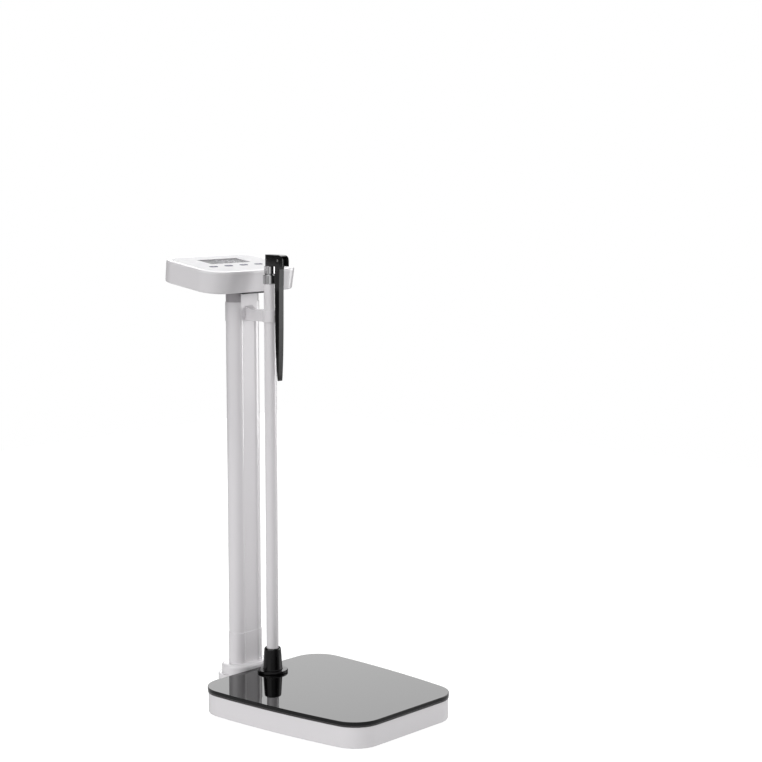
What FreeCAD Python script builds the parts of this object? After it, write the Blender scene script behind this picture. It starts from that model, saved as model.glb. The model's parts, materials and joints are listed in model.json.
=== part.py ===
"""Digital physician scale: glass platform, column with tilted display, telescoping height rod.

Frame: +Z up, -Y is the side a patient steps on from, X across. The origin is on the floor,
midway between the front edge of the platform and the back edge of the display housing.
The rod is modelled pushed right down, with the measuring arm folded and hanging.
"""
import FreeCAD, Part

import math
import os
from FreeCAD import Vector

# ---- driving dimensions, millimetres --------------------------------------------------------

HALF_LENGTH = 325.0          # origin to the platform's front edge, and to the housing's back edge

# platform outline: a trapezium with gently bowed sides and large corner arcs
PLATFORM_DEPTH = 474.0
PLATFORM_BACK_WIDTH = 407.0
PLATFORM_FRONT_WIDTH = 336.0
PLATFORM_CORNER_R = 67.0
PLATFORM_SIDE_BOW = 6.7
PLATFORM_Y = -HALF_LENGTH + PLATFORM_DEPTH / 2

# platform levels
FOOT_H = 4.0
SHELL_TOP = 51.0
RING_TOP = 55.0
GLASS_TOP = 63.0
SHELL_INSET = 2.0
SHELL_WALL = 2.5
FLANGE_WIDTH = 30.0
RING_WIDTH = 14.0
FRAME_BOTTOM = 33.0          # underside of the load-cell bosses
BOTTOM_PLATE_Z = 7.0
BOTTOM_PLATE_T = 1.5

# load cells and levelling feet
FOOT_X_BACK = 135.0
FOOT_X_FRONT = 112.0
FOOT_DY = 172.0
CELL_LENGTH = 76.0
CELL_WIDTH = 20.0
CELL_H = 16.0
STUD_R = 4.0
STUD_FIT = 0.05
PAD_R = 16.0

CABLE_X = 24.0
CABLE_R = 2.5

# column and plinth
COLUMN_Y = PLATFORM_Y + 279.0
COLUMN_R = 22.0              # half depth, and the radius of both round ends
COLUMN_HALF_FLAT = 22.0
COLUMN_WALL = 2.4
COLUMN_BOTTOM = 74.0
COLUMN_TOP = 922.0
GROOVE_HALF = 18.5           # flat floor of the shallow face groove
GROOVE_SLOPE = 5.0
GROOVE_DEPTH = 2.2
SLEEVE_SKIN = 1.2
SLEEVE_TOP = 147.0
PLINTH_R = 40.0
PLINTH_STEP_R = 48.0
PLINTH_STEP_TOP = 51.0

# collar, its rod bracket, and the neck
COLLAR_BOTTOM = 878.0
COLLAR_TOP = 922.0
TONGUE_HALF = 26.0           # front tongue that rises from the collar over the neck
TONGUE_TOP = 943.5
BRACKET_HALF_T = 12.0
BRACKET_BOTTOM = 879.0
BRACKET_TOP = 907.0
BRACKET_SHOULDER = 16.0      # radius of the concave rise from the arm up to the collar
RING_OUTER_R = 17.0

PLATE_HALF_W = 40.0          # head plate, under the front half of the housing
PLATE_FRONT = -89.0
PLATE_BACK = -1.0
PLATE_T = 3.5
PLATE_GAP = 0.02

# display housing, in its own tilted frame (origin: middle of the underside)
HOUSING_Y = PLATFORM_Y + 322.0
HOUSING_Z = 958.5
HOUSING_TILT = 8.4
HOUSING_W = 284.0
HOUSING_D = 187.0
HOUSING_R = 47.5
HOUSING_H = 50.5
HOUSING_DRAFT = 1.1
HOUSING_SPLIT = 40.5
HOUSING_WALL = 2.6
TOP_FILLET = 4.5
BOTTOM_FILLET = 4.0
WINDOW_W = 124.0
WINDOW_D = 50.0
WINDOW_Y = 23.5
KEY_PITCH = 47.3
KEY_X = -10.0
KEY_Y = -28.0
KEY_HALF_LENGTH = 12.0
KEY_HALF_WIDTH = 5.5
KEY_GAP = 0.35
KEY_TRAVEL = 1.2
BOARD_Z = 36.5
DOOR_HALF_W = 46.0
DOOR_FRONT = 24.0
DOOR_BACK = 80.0
DOOR_T = 2.2
DOOR_GAP = 0.4
DOOR_PIN_R = 0.8
DOOR_PIN_LENGTH = 2.5

# height rod
ROD_Y = PLATFORM_Y + 188.0
ROD_BOTTOM = 24.0
ROD_FLANGE_R = 33.0
STAGE_TRAVEL = 550.0         # of each of the two moving tubes
OUTER_R = 14.0
OUTER_TOP = 966.0
OUTER_WALL = 1.5
FERRULE_R = 16.0
FERRULE_TOP = 986.5
FERRULE_PLUG = 24.0          # length of the ferrule inside the outer tube
GLIDE_H = 14.0
STOP_GAP = 0.5
MIDDLE_R = 10.0
MIDDLE_WALL = 1.0
MIDDLE_BOTTOM = OUTER_TOP - FERRULE_PLUG - GLIDE_H - STOP_GAP - STAGE_TRAVEL
HEAD_BOTTOM = 1007.0
COUPLING_R = 13.2
COUPLING_BOTTOM = FERRULE_TOP + 0.3
COUPLING_TOP = HEAD_BOTTOM - 0.3
COUPLING_GRIP = 12.0         # length of the coupling that grips the middle tube
INNER_R = 7.5
INNER_WALL = 1.0
INNER_BOTTOM = COUPLING_BOTTOM + COUPLING_GRIP - GLIDE_H - STOP_GAP - STAGE_TRAVEL
SLIDE_FIT = 0.06
HEAD_H = 25.5
HEAD_HALF_W = 10.4
HEAD_FRONT = 51.0            # ahead of the rod axis
SLOT_HALF_W = 8.2
SLOT_BACK = 20.0
PIN_DY = 35.0
PIN_Z = 1020.5
PIN_R = 2.5
ARM_HALF_W = 7.4
ARM_TIP_HALF_W = 5.9
ARM_TAPER = 60.0             # last stretch, where the sides draw in
ARM_LENGTH = 273.5
HUB_R = 7.4

# ---- helpers ------------------------------------------------------------------------------

X_AXIS = Vector(1, 0, 0)
Y_AXIS = Vector(0, 1, 0)
Z_AXIS = Vector(0, 0, 1)


def save(name, shape):
    os.makedirs("parts", exist_ok=True)
    shape.exportStep("parts/%s.step" % name)


def box(x0, x1, y0, y1, z0, z1):
    return Part.makeBox(x1 - x0, y1 - y0, z1 - z0, Vector(x0, y0, z0))


def post(x, y, z0, z1, radius):
    return Part.makeCylinder(radius, z1 - z0, Vector(x, y, z0))


def tube(x, y, z0, z1, outer, inner):
    return post(x, y, z0, z1, outer).cut(post(x, y, z0 - 1, z1 + 1, inner))


def x_cylinder(x0, x1, y, z, radius):
    return Part.makeCylinder(radius, x1 - x0, Vector(x0, y, z), X_AXIS)


def turned(profile, x, y):
    """Solid of revolution about the vertical line through (x, y); profile is (radius, z) points."""
    points = [Vector(x + r, y, z) for r, z in profile]
    face = Part.Face(Part.makePolygon(points + points[:1]))
    return face.revolve(Vector(x, y, 0), Z_AXIS, 360)


def prism(wire, z0, z1):
    face = Part.Face(wire)
    face.translate(Vector(0, 0, z0 - face.BoundBox.ZMin))
    return face.extrude(Vector(0, 0, z1 - z0))


def side_plate(points, half_width):
    """Plate of constant thickness across X from (y, z) outline edges."""
    face = Part.Face(Part.makePolygon([Vector(-half_width, y, z) for y, z in points + points[:1]]))
    return face.extrude(Vector(2 * half_width, 0, 0))


def stadium(radius, half_flat, y, inset=0.0):
    """Closed flat-oval wire, round at both X ends."""
    r = radius - inset
    a = Vector(-half_flat, y - r, 0)
    b = Vector(half_flat, y - r, 0)
    c = Vector(half_flat, y + r, 0)
    d = Vector(-half_flat, y + r, 0)
    right = Part.Arc(b, Vector(half_flat + r, y, 0), c).toShape()
    left = Part.Arc(d, Vector(-half_flat - r, y, 0), a).toShape()
    return Part.Wire([Part.makeLine(a, b), right, Part.makeLine(c, d), left])


def rounded_rectangle(width, depth, radius, z):
    w = width / 2
    d = depth / 2
    k = radius * (1 - math.sqrt(0.5))
    edges = []
    corners = ((1, 1), (-1, 1), (-1, -1), (1, -1))
    for sx, sy in corners:
        on_side = Vector(sx * w, sy * (d - radius), z)
        middle = Vector(sx * (w - k), sy * (d - k), z)
        on_end = Vector(sx * (w - radius), sy * d, z)
        arc = (on_side, middle, on_end) if sx * sy > 0 else (on_end, middle, on_side)
        edges.append(Part.Arc(*arc).toShape())
    lines = []
    for i in range(4):
        lines.append(Part.makeLine(edges[i].Vertexes[-1].Point, edges[(i + 1) % 4].Vertexes[0].Point))
    return Part.Wire(Part.__sortEdges__(edges + lines))


def platform_outline(inset):
    """The platform's plan outline, set in by inset: a small bowed trapezium offset outward."""
    r = PLATFORM_CORNER_R
    slope = (PLATFORM_BACK_WIDTH - PLATFORM_FRONT_WIDTH) / 2 / PLATFORM_DEPTH
    mid = (PLATFORM_BACK_WIDTH + PLATFORM_FRONT_WIDTH) / 4 - r * math.hypot(1, slope)
    dy = PLATFORM_DEPTH / 2 - r
    back = mid + slope * dy
    front = mid - slope * dy
    bow = mid + PLATFORM_SIDE_BOW
    y = PLATFORM_Y
    a = Vector(back, y + dy, 0)
    b = Vector(-back, y + dy, 0)
    c = Vector(-front, y - dy, 0)
    d = Vector(front, y - dy, 0)
    left = Part.Arc(b, Vector(-bow, y, 0), c).toShape()
    right = Part.Arc(d, Vector(bow, y, 0), a).toShape()
    core = Part.Wire([Part.makeLine(a, b), left, Part.makeLine(c, d), right])
    return core.makeOffset2D(r - inset)


def foot_places():
    """(name, x, y, direction from the foot to the middle of the platform along Y)."""
    places = []
    for side, sx in (("left", -1), ("right", 1)):
        places.append(("front_" + side, sx * FOOT_X_FRONT, PLATFORM_Y - FOOT_DY, 1))
        places.append(("back_" + side, sx * FOOT_X_BACK, PLATFORM_Y + FOOT_DY, -1))
    return places


def rim_edges(solid, z):
    """Edges lying in the horizontal plane at z."""
    return [e for e in solid.Edges if abs(e.BoundBox.ZMin - z) < 1e-4 and abs(e.BoundBox.ZMax - z) < 1e-4]


def tilted(shape):
    """Moves a shape from the housing's own frame to its place on the neck."""
    shape.rotate(Vector(0, 0, 0), X_AXIS, HOUSING_TILT)
    shape.translate(Vector(0, HOUSING_Y, HOUSING_Z))
    return shape


# ---- platform -----------------------------------------------------------------------------

def platform_shell():
    outer = prism(platform_outline(SHELL_INSET), FOOT_H, SHELL_TOP)
    outer = outer.makeFillet(2.0, rim_edges(outer, FOOT_H))
    cavity = prism(platform_outline(SHELL_INSET + SHELL_WALL), FOOT_H - 1, SHELL_TOP - SHELL_WALL)
    mouth = prism(platform_outline(SHELL_INSET + FLANGE_WIDTH), FOOT_H, SHELL_TOP + 1)
    back = PLATFORM_Y + PLATFORM_DEPTH / 2
    anchor_slot = box(-47, 47, back - 12, back + 5, 10.5, 32)
    rod_relief = post(0, ROD_Y, SHELL_TOP - 6, SHELL_TOP + 1, ROD_FLANGE_R + 1)
    boss_relief = box(-52, 52, COLUMN_Y - 97, COLUMN_Y - 63, SHELL_TOP - 6, SHELL_TOP + 1)
    save("platform_shell", outer.cut([cavity, mouth, anchor_slot, rod_relief, boss_relief]))


def platform_bottom_plate():
    z0 = BOTTOM_PLATE_Z
    z1 = z0 + BOTTOM_PLATE_T
    plate = prism(platform_outline(SHELL_INSET + SHELL_WALL + 0.5), z0, z1)
    back = PLATFORM_Y + PLATFORM_DEPTH / 2
    cuts = [post(x, y, z0 - 1, z1 + 1, STUD_R + 3) for _, x, y, _ in foot_places()]
    plate = plate.cut(cuts)
    standoffs = [post(x, back - 130 + dy, z1, z1 + 5, 3) for x in (-30, 30) for dy in (-15, 15)]
    save("platform_bottom_plate", plate.fuse(standoffs).removeSplitter())


def support_frame():
    """Pressed steel deck under the glass, with ribs and a boss over each load cell."""
    deck = prism(platform_outline(RING_WIDTH + 3.0), SHELL_TOP, RING_TOP - 0.5)
    solids = []
    for x in (-70.0, 70.0):
        solids.append(box(x - 12, x + 12, PLATFORM_Y - 185, PLATFORM_Y + 150, 38, SHELL_TOP + 1))
    for dy in (-100.0, 0.0, 100.0):
        solids.append(box(-128, 128, PLATFORM_Y + dy - 10, PLATFORM_Y + dy + 10, 42, SHELL_TOP + 1))
    for _, x, y, toward in foot_places():
        boss_y = y + toward * (CELL_LENGTH - 20)
        solids.append(box(x - 13, x + 13, boss_y - 14, boss_y + 14, FRAME_BOTTOM, SHELL_TOP + 1))
    for x in (-38.0, 38.0):
        solids.append(box(x - 6, x + 6, COLUMN_Y - 95, COLUMN_Y - 65, 18, SHELL_TOP + 1))
    flange_room = post(0, ROD_Y, 40, SHELL_TOP, ROD_FLANGE_R + 0.5)
    rod_hole = post(0, ROD_Y, 40, 80, OUTER_R + 1)
    save("support_frame", deck.fuse(solids).cut([flange_room, rod_hole]).removeSplitter())


def edge_ring():
    outer = prism(platform_outline(0.8), SHELL_TOP, RING_TOP)
    inner = prism(platform_outline(RING_WIDTH), SHELL_TOP - 1, RING_TOP + 1)
    save("edge_ring", outer.cut(inner))


def glass_top():
    glass = prism(platform_outline(0.0), RING_TOP, GLASS_TOP)
    glass = glass.makeFillet(1.2, rim_edges(glass, RING_TOP) + rim_edges(glass, GLASS_TOP))
    save("glass_top", glass.cut(post(0, ROD_Y, RING_TOP - 1, GLASS_TOP + 1, OUTER_R + 1)))


def load_cells():
    for name, x, y, toward in foot_places():
        y0 = y - toward * 12
        y1 = y + toward * (CELL_LENGTH - 12)
        low, high = min(y0, y1), max(y0, y1)
        z0 = FRAME_BOTTOM - CELL_H
        beam = box(x - CELL_WIDTH / 2, x + CELL_WIDTH / 2, low, high, z0, FRAME_BOTTOM)
        middle = (y0 + y1) / 2
        windows = [x_cylinder(x - 20, x + 20, middle + k, FRAME_BOTTOM - CELL_H / 2, 5) for k in (-6, 6)]
        stud_hole = post(x, y, z0 - 1, FRAME_BOTTOM + 1, STUD_R + STUD_FIT)
        save("load_cell_" + name, beam.cut(windows + [stud_hole]))


def levelling_feet():
    for name, x, y, _ in foot_places():
        stud = post(x, y, 3.0, 29.0, STUD_R)
        hub = Part.makeCone(PAD_R - 4, STUD_R + 1, 1.6, Vector(x, y, 4.2))
        save("foot_stud_" + name, stud.fuse(hub).removeSplitter())
        pad = post(x, y, 0.0, 4.2, PAD_R)
        pad = pad.makeFillet(1.2, rim_edges(pad, 4.2))
        save("foot_pad_" + name, pad.cut(post(x, y, 3.0, 6, STUD_R + 0.02)))


def junction_board():
    y = PLATFORM_Y + PLATFORM_DEPTH / 2 - 130
    z = BOTTOM_PLATE_Z + BOTTOM_PLATE_T + 5
    board = box(-36, 36, y - 20, y + 20, z, z + 1.6)
    terminals = [box(x - 7, x + 7, y - 14, y - 4, z + 1.6, z + 9) for x in (-22, 0, 22)]
    save("junction_board", board.fuse(terminals).removeSplitter())


def bottom_screws():
    screws = []
    for dy in (-205.0, -70.0, 60.0, 200.0):
        for sx in (-1, 1):
            x = sx * (118 + 0.06 * dy)
            head = Part.makeCone(3.2, 3.6, 1.3, Vector(x, PLATFORM_Y + dy, BOTTOM_PLATE_Z - 1.3))
            screws.append(head)
    save("bottom_screws", Part.makeCompound(screws))


# ---- column -------------------------------------------------------------------------------

def column_section(skin):
    """Flat-oval section with a shallow groove down each broad face, grown by skin."""
    outer = stadium(COLUMN_R + skin, COLUMN_HALF_FLAT, COLUMN_Y)
    solid = prism(outer, 0, 10)
    front = COLUMN_Y - COLUMN_R - skin
    for side in (1, -1):
        outline = []
        for x, d in ((-GROOVE_HALF - GROOVE_SLOPE, -0.5), (-GROOVE_HALF, GROOVE_DEPTH),
                     (GROOVE_HALF, GROOVE_DEPTH), (GROOVE_HALF + GROOVE_SLOPE, -0.5)):
            y = front + d if side > 0 else 2 * COLUMN_Y - front - d
            outline.append(Vector(x, y, -1))
        groove = Part.Face(Part.makePolygon(outline + outline[:1])).extrude(Vector(0, 0, 12))
        solid = solid.cut(groove)
    faces = [f for f in solid.Faces if abs(f.CenterOfMass.z) < 1e-6]
    return faces[0].OuterWire


def hollow(radius_inset, z0, z1):
    return prism(stadium(COLUMN_R, COLUMN_HALF_FLAT, COLUMN_Y, radius_inset), z0, z1)


def column():
    outer = prism(column_section(0.0), COLUMN_BOTTOM, COLUMN_TOP)
    inner = hollow(COLUMN_WALL + GROOVE_DEPTH, COLUMN_BOTTOM - 1, COLUMN_TOP + 1)
    save("column", outer.cut(inner))


def column_sleeve():
    outer = prism(column_section(SLEEVE_SKIN), COLUMN_BOTTOM, SLEEVE_TOP)
    inner = prism(column_section(0.02), COLUMN_BOTTOM - 1, SLEEVE_TOP + 1)
    save("column_sleeve", outer.cut(inner))


def plinth():
    """Two stacked covers round the foot of the column, open at the front for the anchor."""
    room = prism(platform_outline(SHELL_INSET - 0.3), -5, 200)
    low = prism(stadium(PLINTH_STEP_R, COLUMN_HALF_FLAT, COLUMN_Y), FOOT_H, PLINTH_STEP_TOP)
    low = low.makeFillet(3.5, rim_edges(low, PLINTH_STEP_TOP))
    cavity = prism(stadium(PLINTH_STEP_R - 3, COLUMN_HALF_FLAT, COLUMN_Y), FOOT_H - 1, PLINTH_STEP_TOP - 3)
    through = hollow(1.0, 30, 90)
    anchor_way = box(-47, 47, COLUMN_Y - 60, COLUMN_Y, FOOT_H - 1, 34)
    save("plinth_base", low.cut([cavity, through, room, anchor_way]))
    top = prism(stadium(PLINTH_R, COLUMN_HALF_FLAT, COLUMN_Y), PLINTH_STEP_TOP, COLUMN_BOTTOM)
    top = top.makeFillet(7.0, rim_edges(top, COLUMN_BOTTOM))
    inner = stadium(PLINTH_R - 3, COLUMN_HALF_FLAT, COLUMN_Y)
    inside = prism(inner, PLINTH_STEP_TOP - 1, COLUMN_BOTTOM - 9)
    save("plinth_cover", top.cut([inside, hollow(1.0, 40, 90)]))


def column_anchor():
    """Steel foot bolted under the frame that carries the column's spigot."""
    plate = box(-44, 44, COLUMN_Y - 95, COLUMN_Y + 30, 12, 18)
    inset = COLUMN_WALL + GROOVE_DEPTH + 0.3
    spigot = hollow(inset, 18, 150).cut(hollow(inset + 4, 17, 151))
    cable_way = box(CABLE_X - 5, CABLE_X + 5, COLUMN_Y - 40, COLUMN_Y, 18, 34)
    save("column_anchor", plate.fuse(spigot).cut(cable_way).removeSplitter())


def collar_bracket():
    """Collar round the column top, in one piece with the arm and ring that steady the rod."""
    collar = prism(column_section(SLEEVE_SKIN), COLLAR_BOTTOM, COLLAR_TOP)
    face_y = COLUMN_Y - COLUMN_R - SLEEVE_SKIN + GROOVE_DEPTH
    tongue = box(-TONGUE_HALF, TONGUE_HALF, face_y - 2.2, face_y + 1, COLLAR_BOTTOM + 12, TONGUE_TOP)
    ring = post(0, ROD_Y, BRACKET_BOTTOM, BRACKET_TOP, RING_OUTER_R)
    ring = ring.makeFillet(1.0, rim_edges(ring, BRACKET_BOTTOM) + rim_edges(ring, BRACKET_TOP))
    r = BRACKET_SHOULDER
    y1 = face_y + 0.5
    low_front = Vector(-BRACKET_HALF_T, ROD_Y, BRACKET_BOTTOM + 1)
    low_back = Vector(-BRACKET_HALF_T, y1, BRACKET_BOTTOM + 1)
    high_back = Vector(-BRACKET_HALF_T, y1, BRACKET_TOP - 1 + r)
    arc_end = Vector(-BRACKET_HALF_T, y1 - r, BRACKET_TOP - 1)
    high_front = Vector(-BRACKET_HALF_T, ROD_Y, BRACKET_TOP - 1)
    k = r * (1 - math.sqrt(0.5))
    bend = Vector(-BRACKET_HALF_T, y1 - k, BRACKET_TOP - 1 + k)
    edges = [Part.makeLine(low_front, low_back), Part.makeLine(low_back, high_back)]
    edges.append(Part.Arc(high_back, bend, arc_end).toShape())
    edges.append(Part.makeLine(arc_end, high_front))
    edges.append(Part.makeLine(high_front, low_front))
    arm = Part.Face(Part.Wire(edges)).extrude(Vector(2 * BRACKET_HALF_T, 0, 0))
    body = collar.fuse([tongue, arm, ring])
    bore = post(0, ROD_Y, BRACKET_BOTTOM - 2, BRACKET_TOP + 30, OUTER_R + 0.02)
    inner = prism(column_section(0.02), COLLAR_BOTTOM - 1, 960)
    screw = bracket_screw()
    save("bracket_screw", screw)
    save("collar_bracket", body.cut([bore, inner, screw]).removeSplitter())


def bracket_screw():
    """Small pan-head screw that locks the ring on the rod."""
    front = ROD_Y - RING_OUTER_R
    z = (BRACKET_BOTTOM + BRACKET_TOP) / 2
    shank = Part.makeCylinder(1.5, 2.6, Vector(0, front - 0.4, z), Y_AXIS)
    head = Part.makeCylinder(3.4, 1.9, Vector(0, front - 1.9, z), Y_AXIS)
    return shank.fuse(head).removeSplitter()


def plate_form(gap):
    """The head plate's block, with a gap round it and under it."""
    half = PLATE_HALF_W + gap
    corner = Vector(-half, PLATE_FRONT - gap, -PLATE_T - gap)
    return tilted(Part.makeBox(2 * half, PLATE_BACK - PLATE_FRONT + 2 * gap, PLATE_T + gap, corner))


def cable_way():
    return post(CABLE_X, COLUMN_Y, 800, 1000, 6)


def head_plate():
    """Plate between the stem and the front half of the housing."""
    save("head_plate", plate_form(0).cut(cable_way()))


def neck():
    """Grey stem on top of the column that carries the head plate and the housing."""
    stem = hollow(0.2, COLLAR_TOP + 0.05, 975)
    inset = COLUMN_WALL + GROOVE_DEPTH + 0.2
    spigot = hollow(inset, COLLAR_TOP - 52, COLLAR_TOP + 1).cut(hollow(inset + 3, 800, COLLAR_TOP - 6))
    above = tilted(Part.makeBox(600, 600, 200, Vector(-300, -300, 0)))
    half = TONGUE_HALF + 0.2
    tongue_room = box(-half, half, COLUMN_Y - 40, COLUMN_Y - 19.9, COLLAR_TOP, TONGUE_TOP + 0.5)
    body = stem.cut([above, tongue_room, plate_form(PLATE_GAP)]).fuse(spigot)
    save("neck", body.cut(cable_way()).removeSplitter())


def signal_cable():
    """Load-cell lead from the junction board, up inside the column to the display board."""
    z = 25.0
    r = 15.0
    start = Vector(CABLE_X, PLATFORM_Y + PLATFORM_DEPTH / 2 - 104, z)
    turn_in = Vector(CABLE_X, COLUMN_Y - r, z)
    k = r * math.sqrt(0.5)
    bend = Vector(CABLE_X, COLUMN_Y - r + k, z + r - k)
    turn_out = Vector(CABLE_X, COLUMN_Y, z + r)
    end = Vector(CABLE_X, COLUMN_Y, 982)
    edges = [Part.makeLine(start, turn_in), Part.Arc(turn_in, bend, turn_out).toShape()]
    edges.append(Part.makeLine(turn_out, end))
    path = Part.Wire(edges)
    profile = Part.Wire([Part.makeCircle(CABLE_R, start, Y_AXIS)])
    save("signal_cable", path.makePipeShell([profile], True, False))


# ---- display housing ------------------------------------------------------------------------

def housing_form(inset, z0, z1):
    """Drafted rounded block between two heights, set in by inset all round."""
    def section(z):
        grow = 2 * HOUSING_DRAFT * (z / HOUSING_H - 1) - 2 * inset
        return rounded_rectangle(HOUSING_W + grow, HOUSING_D + grow, HOUSING_R - inset, z)
    return Part.makeLoft([section(z0), section(z1)], True, True)


def oval(x, y, half_length, half_width, z0, z1):
    reach = half_length - half_width
    mid = box(x - reach, x + reach, y - half_width, y + half_width, z0, z1)
    ends = [post(x + s * reach, y, z0, z1, half_width) for s in (-1, 1)]
    return mid.fuse(ends).removeSplitter()


def key_places():
    return [(i + 1, KEY_X + (i - 1.5) * KEY_PITCH) for i in range(4)]


def housing_outer():
    block = housing_form(0.0, 0.0, HOUSING_H)
    block = block.makeFillet(TOP_FILLET, rim_edges(block, HOUSING_H))
    return block.makeFillet(BOTTOM_FILLET, rim_edges(block, 0.0))


def housing_shells():
    block = housing_outer()
    below = box(-200, 200, -150, 150, -1, HOUSING_SPLIT)
    above = box(-200, 200, -150, 150, HOUSING_SPLIT + 0.01, 100)
    cavity = housing_form(HOUSING_WALL, HOUSING_WALL, HOUSING_SPLIT + 1)
    stem_y = COLUMN_Y - HOUSING_Y
    cable_hole = post(CABLE_X, stem_y, -5, 10, 8)
    door_hole = box(-DOOR_HALF_W, DOOR_HALF_W, DOOR_FRONT, DOOR_BACK, -1, HOUSING_WALL + 1)
    jack = Part.makeCylinder(5.5, 20, Vector(70, HOUSING_D / 2 - 10, 18), Y_AXIS)
    bottom = block.common(below).cut([cavity, cable_hole, door_hole, jack])
    posts = [post(x, y, HOUSING_WALL - 0.5, BOARD_Z - 0.2, 4.5) for x, y in screw_places()]
    drills = [post(x, y, -1, BOARD_Z, 1.6) for x, y in screw_places()]
    sinks = [post(x, y, -1, 1.5, 3.5) for x, y in screw_places()]
    hinge_holes = door_pins(DOOR_PIN_R + 0.05, DOOR_PIN_LENGTH + 0.3)
    solid = bottom.fuse(posts + [battery_tray()]).cut(drills + sinks + hinge_holes)
    save("housing_bottom", tilted(solid.removeSplitter()))

    roof = housing_form(HOUSING_WALL, HOUSING_SPLIT - 1, HOUSING_H - 3.0)
    window = box(-WINDOW_W / 2, WINDOW_W / 2, WINDOW_Y - WINDOW_D / 2, WINDOW_Y + WINDOW_D / 2, 30, 60)
    holes = [oval(x, KEY_Y, KEY_HALF_LENGTH, KEY_HALF_WIDTH, 30, 60) for _, x in key_places()]
    save("housing_top", tilted(block.common(above).cut([roof, window] + holes)))


def screw_places():
    return [(sx * 100.0, y) for sx in (-1, 1) for y in (-62.0, 62.0)]


def battery_tray():
    """Open battery tray standing on the housing floor round the door opening."""
    wall = 1.6
    z0 = HOUSING_WALL - 0.5
    outer = box(-DOOR_HALF_W - wall, DOOR_HALF_W + wall, DOOR_FRONT - wall, DOOR_BACK + wall, z0, 22)
    inner = box(-DOOR_HALF_W, DOOR_HALF_W, DOOR_FRONT, DOOR_BACK, z0 - 3, 20.4)
    return outer.cut(inner)


def display_parts():
    z1 = HOUSING_H - 0.4
    w = WINDOW_W / 2 - 0.15
    d = WINDOW_D / 2 - 0.15
    lens = box(-w, w, WINDOW_Y - d, WINDOW_Y + d, z1 - 1.8, z1)
    save("display_window", tilted(lens))
    lcd = box(-w + 2, w - 2, WINDOW_Y - d + 2, WINDOW_Y + d - 2, z1 - 5.2, z1 - 2.0)
    save("lcd_panel", tilted(lcd))
    board = box(-112, 112, -72, 72, BOARD_Z, BOARD_Z + 1.6)
    holder = box(-w, w, WINDOW_Y - d, WINDOW_Y + d, BOARD_Z + 1.6, z1 - 5.3)
    z0 = BOARD_Z + 1.6
    switches = [box(x - 3, x + 3, KEY_Y - 3, KEY_Y + 3, z0, z0 + 2.6) for _, x in key_places()]
    save("display_board", tilted(board.fuse([holder] + switches).removeSplitter()))


def keys():
    for number, x in key_places():
        top = HOUSING_H + 0.9
        cap = oval(x, KEY_Y, KEY_HALF_LENGTH - KEY_GAP, KEY_HALF_WIDTH - KEY_GAP, BOARD_Z + 6.5, top)
        cap = cap.makeFillet(0.7, rim_edges(cap, top))
        stem = post(x, KEY_Y, BOARD_Z + 4.2 + KEY_TRAVEL + 0.2, BOARD_Z + 7, 2.2)
        save("key_%d" % number, tilted(cap.fuse(stem).removeSplitter()))


def door_pins(radius, length):
    """The door's two hinge pins, in line with the barrel along its front edge."""
    r = DOOR_T / 2
    y = DOOR_FRONT + DOOR_GAP + r
    edge = DOOR_HALF_W - DOOR_GAP
    left = x_cylinder(-edge - length, -edge + 1, y, r, radius)
    right = x_cylinder(edge - 1, edge + length, y, r, radius)
    return [left, right]


def battery_door():
    r = DOOR_T / 2
    edge = DOOR_HALF_W - DOOR_GAP
    front = DOOR_FRONT + DOOR_GAP + r
    door = box(-edge, edge, front, DOOR_BACK - DOOR_GAP, 0.0, DOOR_T)
    barrel = x_cylinder(-edge, edge, front, r, r)
    grip = [box(-9, 9, DOOR_BACK - 12 + k, DOOR_BACK - 11 + k, -0.6, 0.5) for k in (0, 2.5, 5)]
    pins = door_pins(DOOR_PIN_R, DOOR_PIN_LENGTH)
    save("battery_door", tilted(door.fuse([barrel] + grip + pins).removeSplitter()))


def battery_cells():
    cells = []
    for i in range(3):
        for x0 in (-45.4, 0.2):
            y = DOOR_FRONT + 12.5 + i * 15.5
            cells.append(x_cylinder(x0, x0 + 44.5, y, 11.2, 7.1))
    save("battery_cells", tilted(Part.makeCompound(cells)))


def power_socket():
    y = HOUSING_D / 2
    body = Part.makeCylinder(5.4, 12, Vector(70, y - 13.5, 18), Y_AXIS)
    bore = Part.makeCylinder(2.9, 10, Vector(70, y - 10.5, 18), Y_AXIS)
    save("power_socket", tilted(body.cut(bore)))


def housing_screws():
    screws = []
    for x, y in screw_places():
        head = post(x, y, 0.3, 1.5, 3.2)
        screws.append(tilted(head.fuse(post(x, y, 1.2, 14, 1.5)).removeSplitter()))
    save("housing_screws", Part.makeCompound(screws))


# ---- height rod -----------------------------------------------------------------------------

def rod_socket():
    """Steel cup under the deck that the outer tube stands in."""
    cup = post(0, ROD_Y, ROD_BOTTOM - 4, SHELL_TOP - 1, OUTER_R + 3.5)
    flange = post(0, ROD_Y, SHELL_TOP - 4, SHELL_TOP, ROD_FLANGE_R)
    bore = post(0, ROD_Y, ROD_BOTTOM, SHELL_TOP + 1, OUTER_R + 0.02)
    save("rod_socket", cup.fuse(flange).cut(bore).removeSplitter())


def rod_boot():
    bore = OUTER_R + 0.02
    z = GLASS_TOP
    profile = [(bore, z), (34.2, z), (35.2, z + 1.4), (35.2, z + 4.6), (33.6, z + 6.4), (23.6, z + 7.0),
               (22.5, z + 8.0), (19.6, z + 54.5), (18.6, z + 57.2), (17.4, z + 58.0), (16.6, z + 57.4),
               (16.2, z + 54.5), (bore, z + 53.5)]
    save("rod_boot", turned(profile, 0, ROD_Y))


def outer_tube():
    wall = tube(0, ROD_Y, ROD_BOTTOM, OUTER_TOP, OUTER_R, OUTER_R - OUTER_WALL)
    save("outer_tube", wall)


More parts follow.
